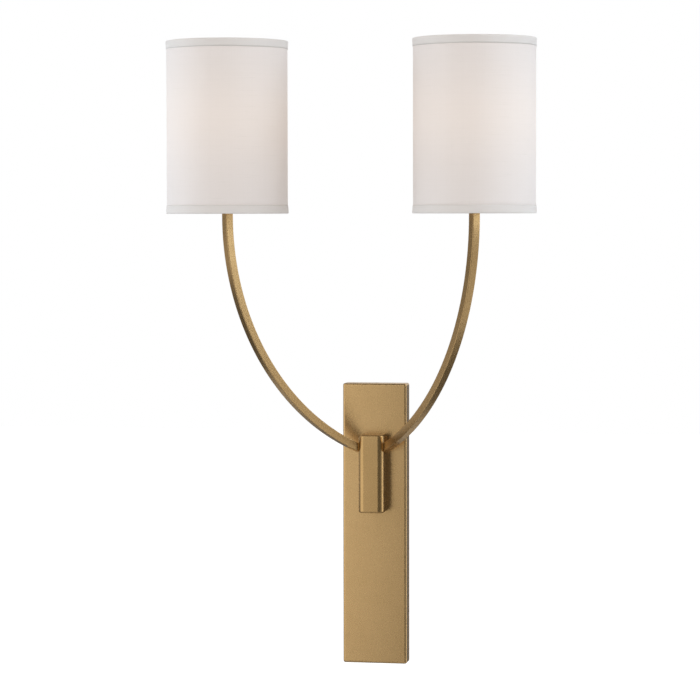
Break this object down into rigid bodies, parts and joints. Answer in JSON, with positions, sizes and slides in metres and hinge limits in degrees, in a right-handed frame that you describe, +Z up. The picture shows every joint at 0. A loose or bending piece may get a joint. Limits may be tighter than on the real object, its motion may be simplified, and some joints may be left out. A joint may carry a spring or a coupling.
{
  "type": "wall sconce",
  "caption": "Satin brass wall sconce: a tall shallow backplate, an upright block and curved square arms that hold linen drum shades over candelabra lamps.",
  "frame": {"origin": "centre of the wall-box screw slots, on the wall plane at the middle of the backplate's back", "axes": "+X to the right of someone facing the light, +Y into the wall, +Z up"},
  "size_m": [0.385, 0.2268, 0.6661],
  "materials": {
    "satin_brass": "satin, lightly aged",
    "contact_brass": "bright",
    "zinc_steel": "zinc plated",
    "earth_green": "green dyed",
    "moulded_holder": "moulded, ivory",
    "terminal_plastic": "moulded",
    "lead_cover": "extruded",
    "fibre": "pressed fibre",
    "shade_linen": "plain weave linen",
    "shade_tape": "folded linen tape",
    "shade_liner": "translucent white sheet",
    "white_wire": "white powder coat",
    "lamp_glass": "clear",
    "lamp_cap": "rolled",
    "lamp_filament": "phosphor coated"
  },
  "bodies": {
    "fixture": {"backplate": "satin_brass", "wall_strap": "zinc_steel", "pan_grub_screws": "zinc_steel", "earth_screw": "earth_green", "terminal_block": "terminal_plastic", "terminal_screws": "contact_brass", "terminal_fixing_screw": "zinc_steel", "arm_block": "satin_brass", "block_nipple": "zinc_steel", "nipple_washer": "zinc_steel", "nipple_nut": "zinc_steel", "block_screw": "zinc_steel", "left_arm": "satin_brass", "left_lead": "lead_cover", "left_coupling": "satin_brass", "left_holder_nipple": "zinc_steel", "left_socket_cup": "satin_brass", "left_lamp_holder": "moulded_holder", "left_screw_shell": "contact_brass", "left_centre_contact": "contact_brass", "right_arm": "satin_brass", "right_lead": "lead_cover", "right_coupling": "satin_brass", "right_holder_nipple": "zinc_steel", "right_socket_cup": "satin_brass", "right_lamp_holder": "moulded_holder", "right_screw_shell": "contact_brass", "right_centre_contact": "contact_brass"},
    "left_shade": {"left_shade_fitter": "white_wire", "left_upper_wire": "white_wire", "left_shade_liner": "shade_liner", "left_shade_fabric": "shade_linen", "left_lower_trim": "shade_tape", "left_upper_trim": "shade_tape"},
    "left_ring_washer": {"left_ring_washer": "fibre"},
    "left_ring": {"left_shade_ring": "moulded_holder"},
    "left_lamp_tip": {"left_bulb_contact": "lamp_cap"},
    "left_lamp": {"left_bulb_base": "lamp_cap", "left_bulb_glass": "lamp_glass", "left_bulb_filaments": "lamp_filament"},
    "right_shade": {"right_shade_fitter": "white_wire", "right_upper_wire": "white_wire", "right_shade_liner": "shade_liner", "right_shade_fabric": "shade_linen", "right_lower_trim": "shade_tape", "right_upper_trim": "shade_tape"},
    "right_ring_washer": {"right_ring_washer": "fibre"},
    "right_ring": {"right_shade_ring": "moulded_holder"},
    "right_lamp_tip": {"right_bulb_contact": "lamp_cap"},
    "right_lamp": {"right_bulb_base": "lamp_cap", "right_bulb_glass": "lamp_glass", "right_bulb_filaments": "lamp_filament"}
  },
  "joints": [
    {"name": "left_shade_turn", "type": "hinge", "parent": "fixture", "child": "left_shade", "pos_m": [-0.129, -0.1633, 0.3359], "axis": [0, 0, 1], "continuous": true},
    {"name": "left_ring_climb", "type": "slide", "parent": "fixture", "child": "left_ring_washer", "axis": [0, 0, 1], "range_m": [0, 0.0055]},
    {"name": "left_ring_turn", "type": "hinge", "parent": "left_ring_washer", "child": "left_ring", "pos_m": [-0.129, -0.1633, 0.3809], "axis": [0, 0, 1], "range_deg": [0, 990]},
    {"name": "left_lamp_climb", "type": "slide", "parent": "fixture", "child": "left_lamp_tip", "axis": [0, 0, 1], "range_m": [0, 0.01016]},
    {"name": "left_lamp_turn", "type": "hinge", "parent": "left_lamp_tip", "child": "left_lamp", "pos_m": [-0.129, -0.1633, 0.3959], "axis": [0, 0, 1], "range_deg": [0, 1440]},
    {"name": "right_shade_turn", "type": "hinge", "parent": "fixture", "child": "right_shade", "pos_m": [0.129, -0.1633, 0.3359], "axis": [0, 0, 1], "continuous": true},
    {"name": "right_ring_climb", "type": "slide", "parent": "fixture", "child": "right_ring_washer", "axis": [0, 0, 1], "range_m": [0, 0.0055]},
    {"name": "right_ring_turn", "type": "hinge", "parent": "right_ring_washer", "child": "right_ring", "pos_m": [0.129, -0.1633, 0.3809], "axis": [0, 0, 1], "range_deg": [0, 990]},
    {"name": "right_lamp_climb", "type": "slide", "parent": "fixture", "child": "right_lamp_tip", "axis": [0, 0, 1], "range_m": [0, 0.01016]},
    {"name": "right_lamp_turn", "type": "hinge", "parent": "right_lamp_tip", "child": "right_lamp", "pos_m": [0.129, -0.1633, 0.3959], "axis": [0, 0, 1], "range_deg": [0, 1440]}
  ],
  "couplings": [
    {"joint": "left_ring_climb", "follows": "left_ring_turn", "m_per_rad": 0.00031831},
    {"joint": "left_lamp_climb", "follows": "left_lamp_turn", "m_per_rad": 0.00040425},
    {"joint": "right_ring_climb", "follows": "right_ring_turn", "m_per_rad": 0.00031831},
    {"joint": "right_lamp_climb", "follows": "right_lamp_turn", "m_per_rad": 0.00040425}
  ]
}
